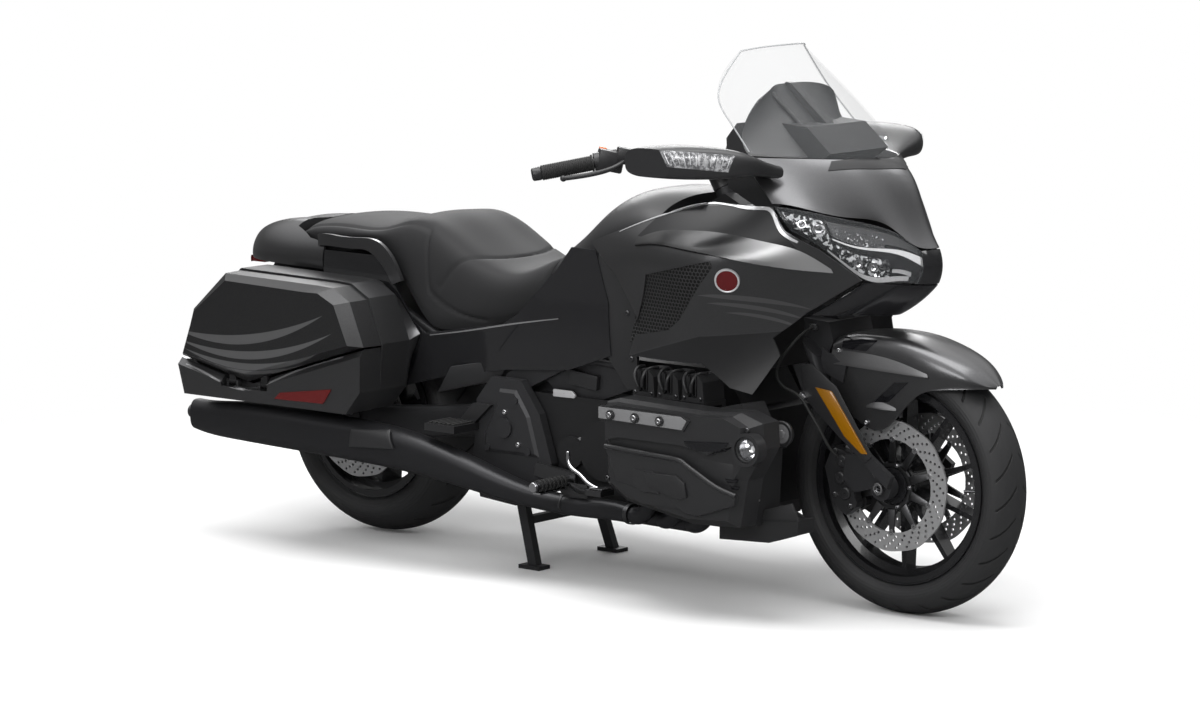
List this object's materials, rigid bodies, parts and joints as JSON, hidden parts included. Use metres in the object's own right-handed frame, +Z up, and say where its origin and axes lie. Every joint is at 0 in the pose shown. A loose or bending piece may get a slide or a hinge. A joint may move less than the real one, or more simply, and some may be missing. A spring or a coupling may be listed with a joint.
{
  "type": "touring cruiser motorcycle",
  "caption": "Large touring cruiser with fairing, clear screen, hard side saddlebags, flat boxer engine, steerable front end, opening bag lids and folding stands.",
  "frame": {"origin": "on the floor midway along the overall length, on the centre plane", "axes": "+X forward, +Y to the rider's left, +Z up"},
  "size_m": [2.4736, 0.9244, 1.357],
  "materials": {
    "body_paint": "satin metallic",
    "dark_plastic": "matte",
    "engine_metal": "cast",
    "frame_metal": "satin",
    "fork_metal": "satin",
    "axle_steel": "machined",
    "disc_steel": "ground",
    "wheel_paint": "gloss",
    "tyre_rubber": "matte",
    "exhaust_metal": "satin",
    "screen_clear": "clear",
    "lamp_glass": "clear",
    "red_lens": "gloss",
    "amber_lens": "gloss",
    "seat_vinyl": "grained",
    "bar_metal": "satin",
    "control_steel": "satin",
    "stand_steel": "satin"
  },
  "bodies": {
    "chassis": {"wishbones": "frame_metal", "engine_block": "engine_metal", "head_covers": "dark_plastic", "intake_covers": "dark_plastic", "radiators": "dark_plastic", "mufflers": "exhaust_metal", "exhaust_headers": "exhaust_metal", "head_block": "frame_metal", "frame_rails": "frame_metal", "pivot_plates": "frame_metal", "swingarm": "frame_metal", "rear_fender": "dark_plastic", "plate_holder": "dark_plastic", "side_cowls": "body_paint", "side_meshes": "dark_plastic", "side_pillars": "dark_plastic", "side_covers": "body_paint", "front_cowl": "body_paint", "lower_nose": "dark_plastic", "headlamps": "lamp_glass", "windscreen": "screen_clear", "screen_garnish": "dark_plastic", "dash": "dark_plastic", "tank_shelter": "dark_plastic", "mirrors": "dark_plastic", "seat": "seat_vinyl", "tail_cowl": "body_paint", "rear_lamps": "red_lens", "grab_rails": "dark_plastic", "saddlebag_body_right": "body_paint", "saddlebag_body_left": "body_paint", "foot_controls": "control_steel"},
    "steering": {"fork": "fork_metal", "front_axle": "axle_steel", "fork_reflectors": "amber_lens", "front_calipers": "fork_metal", "front_fender": "body_paint"},
    "front_wheel": {"front_tyre": "tyre_rubber", "front_rim": "wheel_paint", "front_discs": "disc_steel"},
    "rear_wheel": {"rear_tyre": "tyre_rubber", "rear_rim": "wheel_paint", "rear_disc": "disc_steel"},
    "bars": {"handlebar": "bar_metal"},
    "lid_right": {"saddlebag_lid_right": "body_paint"},
    "lid_left": {"saddlebag_lid_left": "body_paint"},
    "centre_stand": {"centre_stand": "stand_steel"},
    "side_stand": {"side_stand": "stand_steel"}
  },
  "joints": [
    {"name": "steering_turn", "type": "hinge", "parent": "chassis", "child": "steering", "pos_m": [0.57108, 0, 0.774], "axis": [-0.5075, 0, 0.8616], "range_deg": [-34, 34]},
    {"name": "bars_turn", "type": "hinge", "parent": "chassis", "child": "bars", "pos_m": [0.352, 0, 0.985], "axis": [-0.5075, 0, 0.8616], "range_deg": [-34, 34]},
    {"name": "front_wheel_spin", "type": "hinge", "parent": "steering", "child": "front_wheel", "pos_m": [0.918, 0, 0.3196], "axis": [0, 1, 0], "continuous": true},
    {"name": "rear_wheel_spin", "type": "hinge", "parent": "chassis", "child": "rear_wheel", "pos_m": [-0.777, 0, 0.3192], "axis": [0, 1, 0], "continuous": true},
    {"name": "lid_right_open", "type": "hinge", "parent": "chassis", "child": "lid_right", "pos_m": [-0.903, -0.4, 0.432], "axis": [1, 0, 0], "range_deg": [0, 50]},
    {"name": "lid_left_open", "type": "hinge", "parent": "chassis", "child": "lid_left", "pos_m": [-0.903, 0.4, 0.432], "axis": [-1, 0, 0], "range_deg": [0, 50]},
    {"name": "centre_stand_fold", "type": "hinge", "parent": "chassis", "child": "centre_stand", "pos_m": [-0.2, 0, 0.216], "axis": [0, 1, 0], "range_deg": [0, 78]},
    {"name": "side_stand_drop", "type": "hinge", "parent": "chassis", "child": "side_stand", "pos_m": [-0.04, 0.203, 0.213], "axis": [0, -0.9322, -0.3621], "range_deg": [0, 104]}
  ],
  "couplings": [
    {"joint": "bars_turn", "follows": "steering_turn", "ratio": 1}
  ]
}
